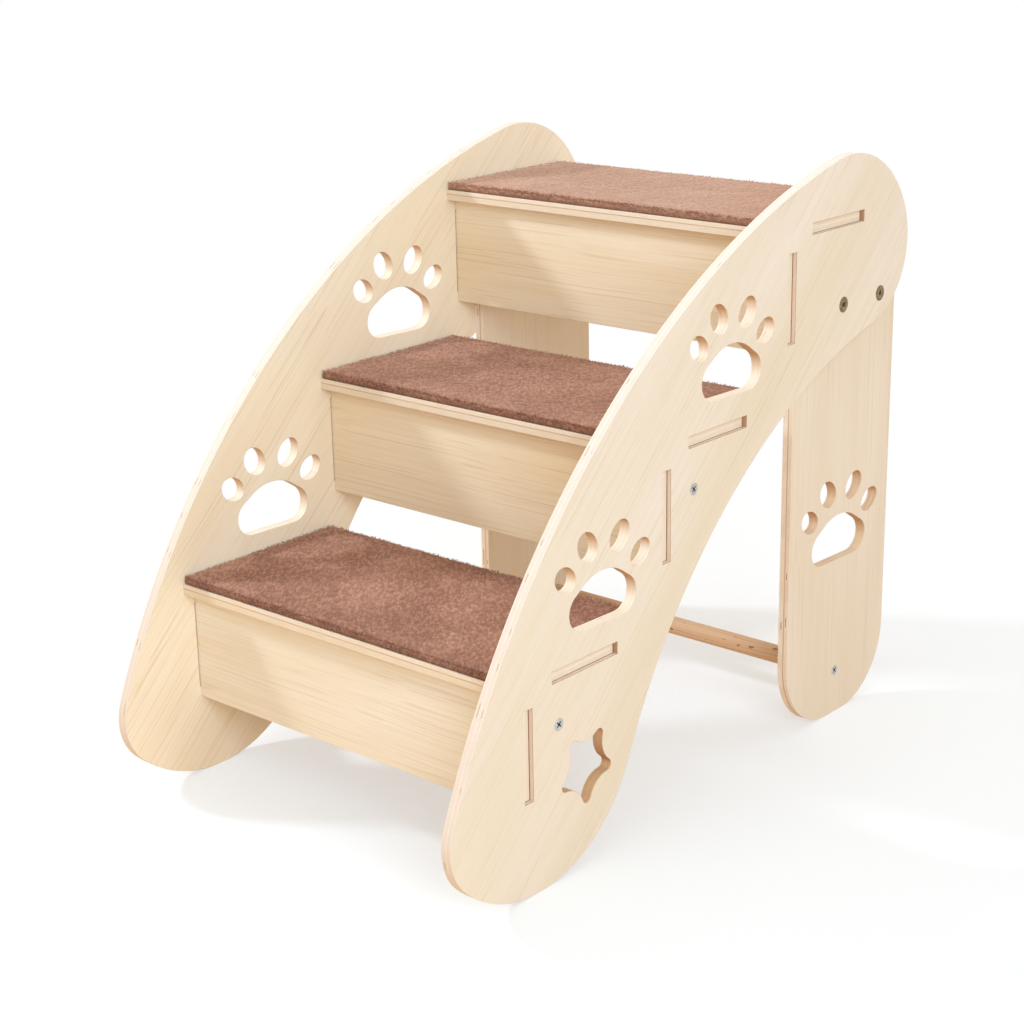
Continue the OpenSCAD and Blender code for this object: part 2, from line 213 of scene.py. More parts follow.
# %% [markdown]
# ## Wood veneer
# The faces of all boards are thin sheets of sliced pine or birch: nearly white cream
# with fine parallel lines, a few darker streaks, and slow drifts of colour from one
# sheet to the next. The sheets on the side panels are laid at 44 degrees, those on the
# legs upright, those on treads and risers along the step. The wood is only sanded and
# oiled, so it is a soft matt with the lines felt a little in the surface.
#
# A grain is a noise pulled out long. The coordinates are turned so that their X runs
# along the grain, in millimetres; each layer then says how long and how wide its
# figures are.

# %% Grain recipe
ALONG_STEP = (0.0, 0.0, 0.0)
UPRIGHT = (0.0, math.radians(90), 0.0)
LAID_AT_44 = (math.radians(-44), 0.0, math.radians(-90))
# The lines wander to the side by up to half of the reach, over these lengths, in mm.
WANDER = (210, 70, 70)
WANDER_REACH = 9.0


def in_millimetres(tree, turn=(0.0, 0.0, 0.0)):
    place = add(tree, "TexCoord")
    return add(tree, "Mapping", {"Scale": (1 / MM, 1 / MM, 1 / MM), "Rotation": turn},
               {"Vector": place.outputs["Object"]}).outputs[0]


def grain(tree, turn, layers):
    # The layers' values, each noise long along the grain and narrow across it.
    along = in_millimetres(tree, turn)
    bend = add(tree, "Mapping", {"Scale": [1 / v for v in WANDER]}, {"Vector": along})
    wander = add(tree, "TexNoise", {"Scale": 1.0, "Detail": 1.0},
                 {"Vector": bend.outputs[0]})
    centred = add(tree, "VectorMath", {"operation": "SUBTRACT", 1: (0.5, 0.5, 0.5)},
                  {0: wander.outputs["Color"]})
    pushed = add(tree, "VectorMath",
                 {"operation": "MULTIPLY", 1: (0.0, WANDER_REACH, WANDER_REACH)},
                 {0: centred.outputs[0]})
    warped = add(tree, "VectorMath", {"operation": "ADD"}, {0: along, 1: pushed.outputs[0]})
    values = []
    for length, width, detail, low, high in layers:
        scaled = add(tree, "Mapping", {"Scale": (1 / length, 1 / width, 1 / width)},
                     {"Vector": warped.outputs[0]})
        noise = add(tree, "TexNoise", {"Scale": 1.0, "Detail": detail, "Roughness": 0.55},
                    {"Vector": scaled.outputs[0]})
        clear = add(tree, "MapRange", {1: low, 2: high}, {0: noise.outputs[0]})
        values.append(clear.outputs[0])
    return values


print("the grain wanders up to", WANDER_REACH / 2, "mm to each side")

# %% Veneer recipe
def tint(tree, under, colour, amount, strength):
    # Paints a colour over what is under it where a layer's value is high.
    share = add(tree, "Math", {"operation": "MULTIPLY", 1: strength}, {0: amount})
    return add(tree, "Mix", {"data_type": "RGBA", "clamp_factor": True, 7: linear(colour)},
               {0: share.outputs[0], 6: under}).outputs[2]


def veneer(name, turn, cream, line, streak, drift, line_width=2.0, line_share=0.20,
           streak_share=0.34, knot_share=0.0):
    material, tree = new_material(name)
    # Length and width in mm, detail, and where the noise begins and ends to show.
    lines, streaks, drifts, pores, knots = grain(tree, turn, [
        (380, line_width, 2.0, 0.44, 0.66),
        (240, line_width * 0.8, 0.0, 0.66, 0.73),
        (420, 60, 2.0, 0.32, 0.70),
        (22, 0.8, 2.0, 0.45, 0.75),
        (9, 3.2, 0.0, 0.74, 0.80),
    ])
    base = add(tree, "Mix", {"data_type": "RGBA", 6: linear(cream), 7: linear(drift)},
               {0: drifts}).outputs[2]
    colour = tint(tree, base, line, lines, line_share)
    colour = tint(tree, colour, streak, streaks, streak_share)
    colour = tint(tree, colour, line, pores, 0.13)
    colour = tint(tree, colour, "#7C4F30", knots, knot_share)
    felt = add(tree, "Math", {"operation": "ADD"}, {0: lines, 1: pores})
    relief = add(tree, "Bump", {"Strength": 0.15, "Distance": 0.05 * MM},
                 {"Height": felt.outputs[0]})
    gloss = add(tree, "MapRange", {3: 0.50, 4: 0.62}, {0: lines})
    skin = add(tree, "BsdfPrincipled", {"IOR": 1.5},
               {"Base Color": colour, "Roughness": gloss.outputs[0],
                "Normal": relief.outputs[0]})
    add(tree, "OutputMaterial", {}, {"Surface": skin.outputs[0]})
    return material


# %% The sheets
# Each sheet's colours are its cream, its fine lines, its streaks and its slow drifts.
#
# Both panels' outer sheets, and the near panel's inner one: nearly white, faint lines.
panel_veneer = veneer("sliced_pine_veneer_laid_diagonally", LAID_AT_44,
                      "#EFE7DC", "#D8C6AB", "#C6AE8A", "#E8DEC9",
                      line_share=0.15, streak_share=0.20)
# The far panel's inner sheet: a yellower sheet with streaks that can be told apart, made
# # brighter also as painted light for the light that the steps and the near panel keep from
# it.
far_panel_veneer_with_painted_light = veneer("warmer_sheet_with_painted_light", LAID_AT_44,
                          "#F6EAD3", "#E2C89F", "#D2AE80", "#F0E1C4",
                          line_share=0.17, streak_share=0.30)
# The legs: the quietest figure of all.
leg_veneer = veneer("birch_veneer_upright", UPRIGHT,
                    "#ECE3D4", "#DDCAAE", "#CFB696", "#E6D9C4",
                    line_share=0.13, streak_share=0.22)
# The two upper risers: a full cream with plain lines.
riser_veneer = veneer("pine_veneer_along_the_step", ALONG_STEP,
                      "#F2E4CB", "#DCC198", "#C9A573", "#ECD8B6",
                      line_share=0.26, streak_share=0.26)
# The bottom riser: a paler sheet, made paler also as painted light for the stronger light
# # on the lowest riser.
pale_riser_veneer_with_painted_light = veneer("paler_sheet_with_painted_light", ALONG_STEP,
                           "#F0E8D8", "#DCC6A5", "#CAAA80", "#ECDEC5",
                           line_share=0.26, streak_share=0.26)
# The treads, which show only as a narrow strip beside the carpet and from below.
tread_veneer = veneer("birch_veneer_along_the_tread", ALONG_STEP,
                      "#F1E2CC", "#E0C9A6", "#D2B38A", "#EBD8BB")
print("veneers:", [m.name for m in bpy.data.materials if "veneer" in m.name])

# %% [markdown]
# ## Plywood edges
# A cut edge shows the stack of plies: thin light face sheets, darker end grain between
# them, thin glue lines, and here and there a dark gap where an inner sheet had a knot.
# Where a point lies between the two faces is kept on each board as an attribute named
# ply, from 0 to 1.
#
# Inside the cut-outs, the walls that face down are painted darker, in tan: painted shade
# that follows the direction in which a wall faces. The star is painted tan all round, and
# the
# slots have brown rims and short ends: painted shade and painted shadow of their gaps.

# %% Stacks of plies
# Where each colour lies, as a share of the thickness from one face to the other.
def five_plies(pale, cross, glue):
    return ((0.0, pale), (0.14, pale), (0.17, glue), (0.20, cross), (0.36, cross),
            (0.39, glue), (0.42, pale), (0.60, pale), (0.63, glue), (0.66, cross),
            (0.82, cross), (0.85, glue), (0.88, pale))


def one_line(pale, cross, glue, at):
    return ((0.0, pale), (at - 0.06, pale), (at - 0.02, glue), (at + 0.03, glue),
            (at + 0.08, cross), (0.9, cross), (1.0, pale))


def foot_in_painted_shadow(pale, cross, shadow):
    # A slot's wall: the strip next to the sunk tenon end is painted dark as the shadow in
    # the
    #     gap round the tenon.
    return ((0.0, pale), (0.20, cross), (0.34, cross), (0.355, shadow), (0.645, shadow),
            (0.66, cross), (0.80, cross), (1.0, pale))


# The middles of the two cross plies: a gap shows only there.
INNER_PLIES = ((0.24, grey(0)), (0.26, grey(1)), (0.31, grey(1)), (0.33, grey(0)),
               (0.71, grey(0)), (0.73, grey(1)), (0.77, grey(1)), (0.79, grey(0)))
print("gaps can show at", [place for place, shown in INNER_PLIES if shown[0]],
      "of the thickness")

# %% Edge recipe
def ply_edge(name, plies, cross, gap, worn, gap_share=1.0, painted_shade_below=None):
    material, tree = new_material(name)
    ply = add(tree, "Attribute", {"attribute_name": "ply"}).outputs["Fac"]
    stack = add(tree, "ValToRGB", {}, {0: ply})
    set_ramp(stack, [(place, linear(colour)) for place, colour in plies])
    metric = in_millimetres(tree)
    # Worn blotches of 16 mm, end fibres of 1.1 mm, and gaps a few millimetres long.
    blotch = add(tree, "TexNoise", {"Scale": 1 / 16, "Detail": 3.0}, {"Vector": metric})
    fibre = add(tree, "TexNoise", {"Scale": 1 / 1.1, "Detail": 2.0}, {"Vector": metric})
    knot = add(tree, "TexNoise", {"Scale": 1 / 15, "Detail": 0.0}, {"Vector": metric})
    blotches = add(tree, "MapRange", {1: 0.42, 2: 0.75}, {0: blotch.outputs[0]})
    fibres = add(tree, "MapRange", {1: 0.40, 2: 0.75}, {0: fibre.outputs[0]})
    knots = add(tree, "MapRange", {1: 0.70, 2: 0.72}, {0: knot.outputs[0]})
    inner = add(tree, "ValToRGB", {}, {0: ply})
    set_ramp(inner, INNER_PLIES)
    gaps = add(tree, "Math", {"operation": "MULTIPLY"},
               {0: knots.outputs[0], 1: inner.outputs[0]})
    colour = tint(tree, stack.outputs[0], worn, blotches.outputs[0], 0.55)
    colour = tint(tree, colour, cross, fibres.outputs[0], 0.35)
    colour = tint(tree, colour, gap, gaps.outputs[0], gap_share)
    if painted_shade_below:
        # Painted shade: none on a wall that faces up, and full on one that faces down.
        facing = add(tree, "NewGeometry")
        up = add(tree, "SeparateXYZ", {}, {0: facing.outputs["Normal"]})
        down = add(tree, "MapRange", {1: 0.45, 2: -0.75}, {0: up.outputs["Z"]})
        colour = tint(tree, colour, painted_shade_below, down.outputs[0], 0.85)
    dip = add(tree, "Math", {"operation": "MULTIPLY_ADD", 1: -1.5},
              {0: gaps.outputs[0], 2: fibres.outputs[0]})
    relief = add(tree, "Bump", {"Strength": 0.5, "Distance": 0.12 * MM},
                 {"Height": dip.outputs[0]})
    gloss = add(tree, "MapRange", {3: 0.58, 4: 0.72}, {0: fibres.outputs[0]})
    skin = add(tree, "BsdfPrincipled", {"IOR": 1.5},
               {"Base Color": colour, "Roughness": gloss.outputs[0],
                "Normal": relief.outputs[0]})
    add(tree, "OutputMaterial", {}, {"Surface": skin.outputs[0]})
    return material


# %% The edges
# Each edge's colours are its stack, the end fibres, the gaps and the worn blotches.
#
# The panels' sanded outline: a pale beige.
panel_edge = ply_edge("sanded_plywood_edge", five_plies("#EADFD2", "#E7D7C8", "#DECAB9"),
                      "#DFCAB6", "#A57B57", "#E3D2C2", gap_share=0.7)
# The legs' edges: cream, with one glue line and open gaps.
leg_edge = ply_edge("plywood_leg_edge", one_line("#FCF1E2", "#F8E9D5", "#C49D78", 0.55),
                    "#F0DFCB", "#8A6244", "#E7CDB3")
# The front edges of treads and risers: one glue line, and no gaps.
tread_edge = ply_edge("plywood_tread_edge",
                      one_line("#E9D9C3", "#EEE0CD", "#C39E7B", 0.60),
                      "#E0CCB0", "#A57F5C", "#E1CDB1", gap_share=0.0)
# The panels' paws: as pale as the sheets, with painted shade in tan where the wall faces
# down.
routed_edge = ply_edge("routed_plywood_edge_with_painted_shade", five_plies("#F6E9D8", "#F2E2CC", "#E8D3B8"),
                       "#EEDCC4", "#8A6244", "#F0DEC6", gap_share=0.4, painted_shade_below="#C79C6C")
# The slots' long walls: pale down to a painted shadow in the gap round the tenon.
slot_wall = ply_edge("sawn_slot_wall", foot_in_painted_shadow("#ECDDCE", "#E8D5C4", "#9A7051"),
                     "#E3CFBC", "#A57B57", "#DFBFA2", gap_share=0.0)
# The tenons' ends: closed, and painted nearly white as painted light that lifts them out of
# the shade of their slots.
tenon_end_painted_light = ply_edge("tenon_end_in_painted_light", five_plies("#F3EBDC", "#EEE2D0", "#E2D1B8"),
                     "#E7D9C2", "#A57B57", "#EDDAC4", gap_share=0.0)
# The stars' walls: painted tan all round as painted shade, darkest where they face down.
star_edge_painted_shade = ply_edge("star_edge_in_painted_shade", five_plies("#E4C29C", "#DDB88E", "#CFA57A"),
                       "#D2AB80", "#8A6244", "#DDB88E", gap_share=0.4, painted_shade_below="#AD7C50")
# The legs' paws: a warmer cream than the panels', painted as the warm shade in which they
# lie, with painted shade where a wall faces down.
leg_paw_edge_painted_shade = ply_edge("routed_leg_edge_in_painted_shade", five_plies("#F6E2C9", "#F1DABC", "#E6C8A4"),
                        "#EACEAC", "#8A6244", "#ECD0AE", gap_share=0.4, painted_shade_below="#BC8C5E")
# The slots' short ends: painted brown as the shade deep in the gap past each lying tenon.
slot_end = ply_edge("slot_end_in_painted_shade", five_plies("#BE9A79", "#B69070", "#A98363"),
                    "#A98363", "#7A5236", "#C49C78", gap_share=0.0)
# The slots' rims: a thin brown line that draws each slot, painted as the shadow of the gap
# round the tenon.
slot_rim_painted_shadow = ply_edge("slot_rim_in_painted_shadow", five_plies("#A47C5D", "#9E7557", "#92694C"),
                        "#92694C", "#7A5236", "#C49C78", gap_share=0.0)
print("edges:", [m.name for m in bpy.data.materials if "edge" in m.name])

# %% [markdown]
# ## The boards
# Ten pieces are cut from plywood: two side panels, two legs, three treads and three
# risers. Their shape is the construction's, but a real board has no razor edges: the
# arris is eased with a few strokes of sandpaper, and that thin round is what catches the
# light. Each board is a copy of its solid, merged and freed of needless triangles, with
# a narrow bevel on its outward edges. Inside corners stay sharp, as a cutter leaves them.

# %% Select and copy
SAME_POINT = 0.002 * MM
SAME_PLANE = math.radians(0.4)


def only(piece):
    bpy.ops.object.select_all(action="DESELECT")
    piece.select_set(True)
    bpy.context.view_layer.objects.active = piece


def in_edit(piece, kind="EDGE", pick="DESELECT"):
    only(piece)
    bpy.ops.object.mode_set(mode="EDIT")
    bpy.ops.mesh.select_mode(type=kind)
    bpy.ops.mesh.select_all(action=pick)


def done():
    bpy.ops.object.mode_set(mode="OBJECT")


def copy_of(node, name):
    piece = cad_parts[node].copy()
    piece.data = piece.data.copy()
    piece.name = piece.data.name = name
    piece.parent = None
    for key in list(piece.keys()):
        del piece[key]
    bpy.context.scene.collection.objects.link(piece)
    in_edit(piece, "VERT", "SELECT")
    bpy.ops.mesh.remove_doubles(threshold=SAME_POINT)
    bpy.ops.mesh.dissolve_limited(angle_limit=SAME_PLANE)
    done()
    piece.data.materials.clear()
    return piece


print("solids to copy:", len(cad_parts))

# %% Ease the edges
RIDGE = math.radians(30)


def outward_edges(mesh):
    # Edges where two faces meet at a ridge. In a hollow, the smaller face would rise
    # above the plane of the larger one.
    sides = {}
    for face in mesh.polygons:
        for key in face.edge_keys:
            sides.setdefault(key, []).append(face)
    found = []
    for edge in mesh.edges:
        pair = sides.get(edge.key, [])
        if len(pair) != 2 or pair[0].normal.angle(pair[1].normal) < RIDGE:
            continue
        small, large = (pair[1], pair[0]) if pair[1].area < pair[0].area else pair
        start, end = (mesh.vertices[index].co for index in edge.vertices)
        middle = (start + end) / 2
        if (small.center - middle).dot(large.normal) < 0:
            found.append(edge.index)
    return found


def ease(piece, width, steps=3):
    found = outward_edges(piece.data)
    in_edit(piece, "EDGE")
    done()
    for index in found:
        piece.data.edges[index].select = True
    bpy.ops.object.mode_set(mode="EDIT")
    bpy.ops.mesh.bevel(offset_type="OFFSET", offset=width, segments=steps, profile=0.5,
                       affect="EDGES", clamp_overlap=True)
    done()
    print(piece.name, len(found), "edges eased by", round(width / MM, 2), "mm")


def smooth_faces(piece, angle=40):
    only(piece)
    bpy.ops.object.shade_smooth_by_angle(angle=math.radians(angle))
    weigh = piece.modifiers.new("even_faces", "WEIGHTED_NORMAL")
    weigh.keep_sharp = True
    bpy.ops.object.modifier_apply(modifier=weigh.name)


# %% Numbers kept on the points, and the last step of a piece
def points_of(mesh):
    spots = np.zeros(len(mesh.vertices) * 3, np.float32)
    mesh.vertices.foreach_get("co", spots)
    return spots.reshape(-1, 3)


def keep_on(mesh, name, values):
    # One number for each point, which a material reads by its name.
    kept = mesh.attributes.new(name, "FLOAT", "POINT")
    kept.data.foreach_set("value", np.asarray(values, np.float32))


def finish_piece(piece, node):
    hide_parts(node)
    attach(piece, WHOLE_BODY)
    print(piece.name, len(piece.data.polygons), "faces")


# %% [markdown]
# Which finish a face gets follows from where it lies. A face flat on the box of its board
# is one of the broad sheets, or the end of a tenon. The other faces are walls: one that
# lies well inside the outline belongs to a slot, a paw or a star.

# %% Where the cut-outs are
def in_metres(*rows):
    return [tuple(v * MM for v in row) for row in rows]


# Each cut-out's middle, half depth and half height: y, z, dy and dz.
panel_paws = in_metres((-133.9, 250, 66, 50), (41.6, 402, 66, 50))
panel_star = in_metres((-156.9, 89.5, 37, 37))
lying_slots = in_metres((-158, 180.5, 43, 7), (22, 332.5, 43, 7), (202, 484.5, 43, 7))
upright_slots = in_metres((-229.4, 123, 7, 42), (-49.4, 275, 7, 42), (130.6, 427, 7, 42))
leg_paw = in_metres((235.1, 199, 72, 50))
# The short walls past the two ends of a lying tenon.
TO_SLOT_END = 41.3 * MM
slot_ends = [(y + side * TO_SLOT_END, z, 1.5 * MM, dz)
             for y, z, dy, dz in lying_slots for side in (-1, 1)]


def near(point, spots):
    return any(abs(point.y - y) < dy and abs(point.z - z) < dz for y, z, dy, dz in spots)


print("cut-outs in a panel:", len(panel_paws + panel_star + lying_slots + upright_slots))

# %% Which finish a face gets
X, Y, Z = 0, 1, 2
SQUARE = 0.99
FLUSH = 0.02 * MM
ON_A_ROUND = 0.1


def on_box(face, axis, low, high):
    # True on the two flat ends of a board's box, and not on a round or a counterbore.
    off = min(abs(face.center[axis] - low[axis]), abs(face.center[axis] - high[axis]))
    return abs(face.normal[axis]) > SQUARE and off < FLUSH


def panel_place(face, through, low, high):
    if on_box(face, through, low, high):
        return "outer sheet" if face.normal.x * face.center.x > 0 else "inner sheet"
    if near(face.center, lying_slots + upright_slots):
        if abs(face.normal.x) > ON_A_ROUND:
            return "slot rim"
        return "slot end" if near(face.center, slot_ends) else "slot wall"
    if near(face.center, panel_star):
        return "star"
    return "paw" if near(face.center, panel_paws) else "edge"


def leg_place(face, through, low, high):
    if on_box(face, through, low, high):
        return "sheet"
    return "paw" if near(face.center, leg_paw) else "edge"


def step_place(face, through, low, high):
    if on_box(face, through, low, high):
        return "sheet"
    return "tenon" if on_box(face, X, low, high) else "edge"


# %% Dress a board
def board(node, name, through, arris, finishes, place_of):
    # through is the axis across the plies. place_of says which finish a face gets.
    low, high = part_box(node)
    piece = copy_of(node, name)
    for material in finishes.values():
        piece.data.materials.append(material)
    ease(piece, arris)
    places = list(finishes)
    for face in piece.data.polygons:
        face.material_index = places.index(place_of(face, through, low, high))
    thickness = high[through] - low[through]
    depth = (points_of(piece.data)[:, through] - low[through]) / thickness
    keep_on(piece.data, "ply", np.clip(depth, 0, 1))
    smooth_faces(piece)
    finish_piece(piece, node)


# %% Side panels and legs
PANEL_ARRIS = 0.45 * MM
for side, inner_sheet in (("left", far_panel_veneer_with_painted_light), ("right", panel_veneer)):
    board("side_panel_" + side, "arched_panel_" + side, X, PANEL_ARRIS,
          {"inner sheet": inner_sheet, "edge": panel_edge, "paw": routed_edge,
           "slot rim": slot_rim_painted_shadow, "slot wall": slot_wall, "slot end": slot_end,
           "star": star_edge_painted_shade, "outer sheet": panel_veneer}, panel_place)
    board("leg_" + side, "leg_plank_" + side, X, PANEL_ARRIS,
          {"sheet": leg_veneer, "edge": leg_edge, "paw": leg_paw_edge_painted_shade}, leg_place)

# %% Treads and risers
STEP_ARRIS = 0.5 * MM
LEVELS = ("bottom", "middle", "top")
for level in LEVELS:
    board("tread_" + level, "tread_board_" + level, Z, STEP_ARRIS,
          {"sheet": tread_veneer, "edge": tread_edge, "tenon": tenon_end_painted_light}, step_place)
    riser_sheet = pale_riser_veneer_with_painted_light if level == "bottom" else riser_veneer
    board("riser_" + level, "riser_board_" + level, Y, STEP_ARRIS,
          {"sheet": riser_sheet, "edge": tread_edge, "tenon": tenon_end_painted_light}, step_place)

# %% [markdown]
# ## The rods
# Three beech dowels tie the sides together: two under the steps and one low between the
# legs. A dowel is turned on a lathe and cut to length, so it starts as a cylinder, and
# the rims of its two ends are broken by a small chamfer. Beech is browner than the boards
# and full of short dark flecks.

# %% Dowel wood
dowel_wood = veneer("turned_beech_dowel", ALONG_STEP,
                    "#DFC09D", "#CCA37A", "#A8744A", "#D3AB84",
                    line_width=1.8, line_share=0.5, streak_share=0.45, knot_share=0.75)
print("wood of the rods:", dowel_wood.name)

# %% Rods
ROD_CHAMFER = 0.6 * MM
for node, name in (("tie_rod_bottom", "dowel_bottom"), ("tie_rod_middle", "dowel_middle"),
                   ("leg_stretcher", "dowel_between_legs")):
    low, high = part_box(node)
    middle = (low + high) / 2
    bpy.ops.object.select_all(action="DESELECT")
    bpy.ops.mesh.primitive_cylinder_add(vertices=48, radius=(high.z - low.z) / 2,
                                        depth=high.x - low.x, location=middle,
                                        rotation=(0, math.radians(90), 0))
    rod = bpy.context.object
    rod.name = rod.data.name = name
    bpy.ops.object.transform_apply(location=True, rotation=True, scale=True)
    ease(rod, ROD_CHAMFER, steps=2)
    rod.data.materials.append(dowel_wood)
    smooth_faces(rod)
    finish_piece(rod, node)

# %% [markdown]
# ## The metal
# Countersunk wood screws are zinc plated: a pale warm grey, a little cloudy, and dark in
# the driver's cross, where little light gets in. The leg bolts and their cap nuts are
# bronzed, darker in patches where the coating is thick. Each fastener is a copy of its
# solid with its rims eased, as every turned or pressed rim is.

# %% Metal recipe
def plated(name, bright, dull, rough_low, rough_high, patch):
    # patch is the width of a cloud in the plating, in millimetres.
    material, tree = new_material(name)
    metric = in_millimetres(tree)
    cloud = add(tree, "TexNoise", {"Scale": 1 / patch, "Detail": 3.0}, {"Vector": metric})
    fine = add(tree, "TexNoise", {"Scale": 1 / 0.35, "Detail": 1.0}, {"Vector": metric})
    clouds = add(tree, "MapRange", {1: 0.35, 2: 0.70}, {0: cloud.outputs[0]})
    colour = add(tree, "Mix", {"data_type": "RGBA", 6: linear(bright), 7: linear(dull)},
                 {0: clouds.outputs[0]})
    gloss = add(tree, "MapRange", {3: rough_low, 4: rough_high}, {0: clouds.outputs[0]})
    relief = add(tree, "Bump", {"Strength": 0.3, "Distance": 0.02 * MM},
                 {"Height": fine.outputs[0]})
    skin = add(tree, "BsdfPrincipled", {"Metallic": 1.0},
               {"Base Color": colour.outputs[2], "Roughness": gloss.outputs[0],
                "Normal": relief.outputs[0]})
    add(tree, "OutputMaterial", {}, {"Surface": skin.outputs[0]})
    return material


# The screws' heads: bright, with a soft gloss.
zinc = plated("zinc_plated_steel", "#D8D4CC", "#B0AEA8", 0.36, 0.52, 3.0)
# The same plating in the cross, painted dull and grey as the shade where little light gets
# in.
shaded_zinc = plated("zinc_in_painted_shade_of_cross", "#7A7E7F", "#5A5F61", 0.55, 0.70, 1.5)
# Bolts and nuts: a quiet brown metal.
bronze = plated("bronzed_steel", "#A58C69", "#6E5A42", 0.42, 0.58, 2.6)
print("metals:", [m.name for m in (zinc, shaded_zinc, bronze)])

# %% Fasteners
CROSS_REACH = 3.1 * MM
CROSS_DEPTH = 1.7 * MM
SKIN_DEPTH = 0.05 * MM
METAL_ARRIS = 0.15 * MM
# Each node's piece, slot, plating, and the rods whose ends its screws hold.
FASTENERS = {
    "tie_screws": ("rod_screws", "zinc_screw", zinc, ("tie_rod_bottom", "tie_rod_middle")),
    "stretcher_screws": ("leg_rod_screws", "zinc_screw", zinc, ("leg_stretcher",)),
    "leg_bolts": ("bolt_heads_and_shanks", "bronze_fitting", bronze, ()),
    "leg_cap_nuts": ("cap_nuts", "bronze_fitting", bronze, ()),
}


def shade_crosses(piece, head_x, rods):
    # The cross's walls and floor lie under the head's face and close to a rod's axis.
    count = 0
    axes = [(low + high) / 2 for low, high in map(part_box, rods)]
    for face in piece.data.polygons:
        depth = head_x - abs(face.center.x)
        for axis in axes:
            away = math.hypot(face.center.y - axis.y, face.center.z - axis.z)
            if SKIN_DEPTH < depth < CROSS_DEPTH and away < CROSS_REACH:
                face.material_index = 1
                count += 1
    print(piece.name, "faces in the crosses:", count)


for node, (name, slot, finish, rods) in FASTENERS.items():
    piece = copy_of(node, name)
    piece.data.materials.append(finish)
    ease(piece, METAL_ARRIS, steps=2)
    if rods:
        piece.data.materials.append(shaded_zinc)
        shade_crosses(piece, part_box(node)[1].x, rods)
    smooth_faces(piece, 35)
    finish_piece(piece, node)

# %% [markdown]
# ## The carpet
# Each tread carries a pad of short brown pile, cut to the width between the panels. The
# pile is tufts of about two millimetres that lean each their own way, so it is mottled
# light and dark. They lie mostly one way, so the marks are longer that way than across.
# The side of each pad is darker towards the tread, and the front of each pad stands a
# little behind the edge of its tread.
#
# A fine grid takes the worn hollows, the lumps and the tufts from three displacing
# textures. The material adds the colour of each tuft, slow shaded patches where it has
# been brushed, and a sheen at a flat angle. Three attributes steer it: one darkens a pad's
# side towards the tread, one paints light where the pile stands out and shade where it
# sinks, and one paints a pale sheen over a whole pad, full on the top pad: painted light
# for the brightest step.

# %% Pile material
# Cut pile of dyed yarn: dull and deep, with a pale bloom where it is seen at a low angle.
PILE_LIES = math.radians(41)
PILE_STRETCH = 2.8
TUFT, YARN, BRUSH_MARK = 2.6, 2.2, 60  # mm

pile, tree = new_material("cut_pile_carpet")
metric = in_millimetres(tree)
place = add(tree, "TexCoord")
combed = add(tree, "Mapping",
             {"vector_type": "TEXTURE", "Scale": (MM, PILE_STRETCH * MM, MM),
              "Rotation": (0, 0, PILE_LIES)}, {"Vector": place.outputs["Object"]})
tuft = add(tree, "TexNoise", {"Scale": 1 / TUFT, "Detail": 1.6, "Roughness": 0.60},
           {"Vector": combed.outputs[0]})
cell = add(tree, "TexVoronoi", {"Scale": 1 / YARN}, {"Vector": metric})
brushed = add(tree, "TexNoise", {"Scale": 1 / BRUSH_MARK, "Detail": 3.0},
              {"Vector": metric})
tufts = add(tree, "MapRange", {1: 0.41, 2: 0.70}, {0: tuft.outputs[0]})
patches = add(tree, "MapRange", {1: 0.38, 2: 0.62}, {0: brushed.outputs[0]})
cut, tip, painted_sheen = (add(tree, "Attribute", {"attribute_name": name}).outputs["Fac"]
                     for name in ("cut", "tip", "painted_sheen"))
# A tuft's own tone, lifted by painted light where it stands out and lowered in a brushed
# patch.
tone = add(tree, "Math", {"operation": "ADD"}, {0: tufts.outputs[0], 1: tip})
tone = add(tree, "Math", {"operation": "MULTIPLY_ADD", 1: -0.36},
           {0: patches.outputs[0], 2: tone.outputs[0]})
toned = add(tree, "MapRange", {1: -0.52, 2: 1.98}, {0: tone.outputs[0]})
colour = add(tree, "Mix", {"data_type": "RGBA", 6: linear("#5F3424"), 7: linear("#CC9B82")},
             {0: toned.outputs[0]}).outputs[2]
# The third tint is a painted sheen over a whole pad, full on the top pad.
for over, amount, strength in (("#8C5740", patches.outputs[0], 0.16),
                               ("#5B3222", cell.outputs["Distance"], 0.12),
                               ("#E0B598", painted_sheen, 0.25), ("#5E3A2D", cut, 0.62)):
    colour = tint(tree, colour, over, amount, strength)
height = add(tree, "Math", {"operation": "SUBTRACT"},
             {0: tufts.outputs[0], 1: cell.outputs["Distance"]})
relief = add(tree, "Bump", {"Strength": 0.2, "Distance": 0.4 * MM},
             {"Height": height.outputs[0]})
skin = add(tree, "BsdfPrincipled",
           {"Roughness": 0.92, "IOR": 1.45, "Sheen Weight": 1.0, "Sheen Roughness": 0.20,
            "Sheen Tint": linear("#F2DDD0")},
           {"Base Color": colour, "Normal": relief.outputs[0]})
add(tree, "OutputMaterial", {}, {"Surface": skin.outputs[0]})
print(pile.name, len(tree.nodes), "nodes")

# %% The shape of a pad
CELL = 1.15 * MM
ROUND = 4.5 * MM
ROUND_STEPS = 4
STRAIGHT_TO = 6.2
PULLED_IN = 0.3
SET_BACK = 3 * MM


def growth_to(piece, size):
    # How much the selected rim has to grow to reach a length and width.
    spots = [v.co for v in piece.data.vertices if v.select]
    now = [max(p[i] for p in spots) - min(p[i] for p in spots) for i in (0, 1)]
    return (size[0] / now[0], size[1] / now[1], 1)


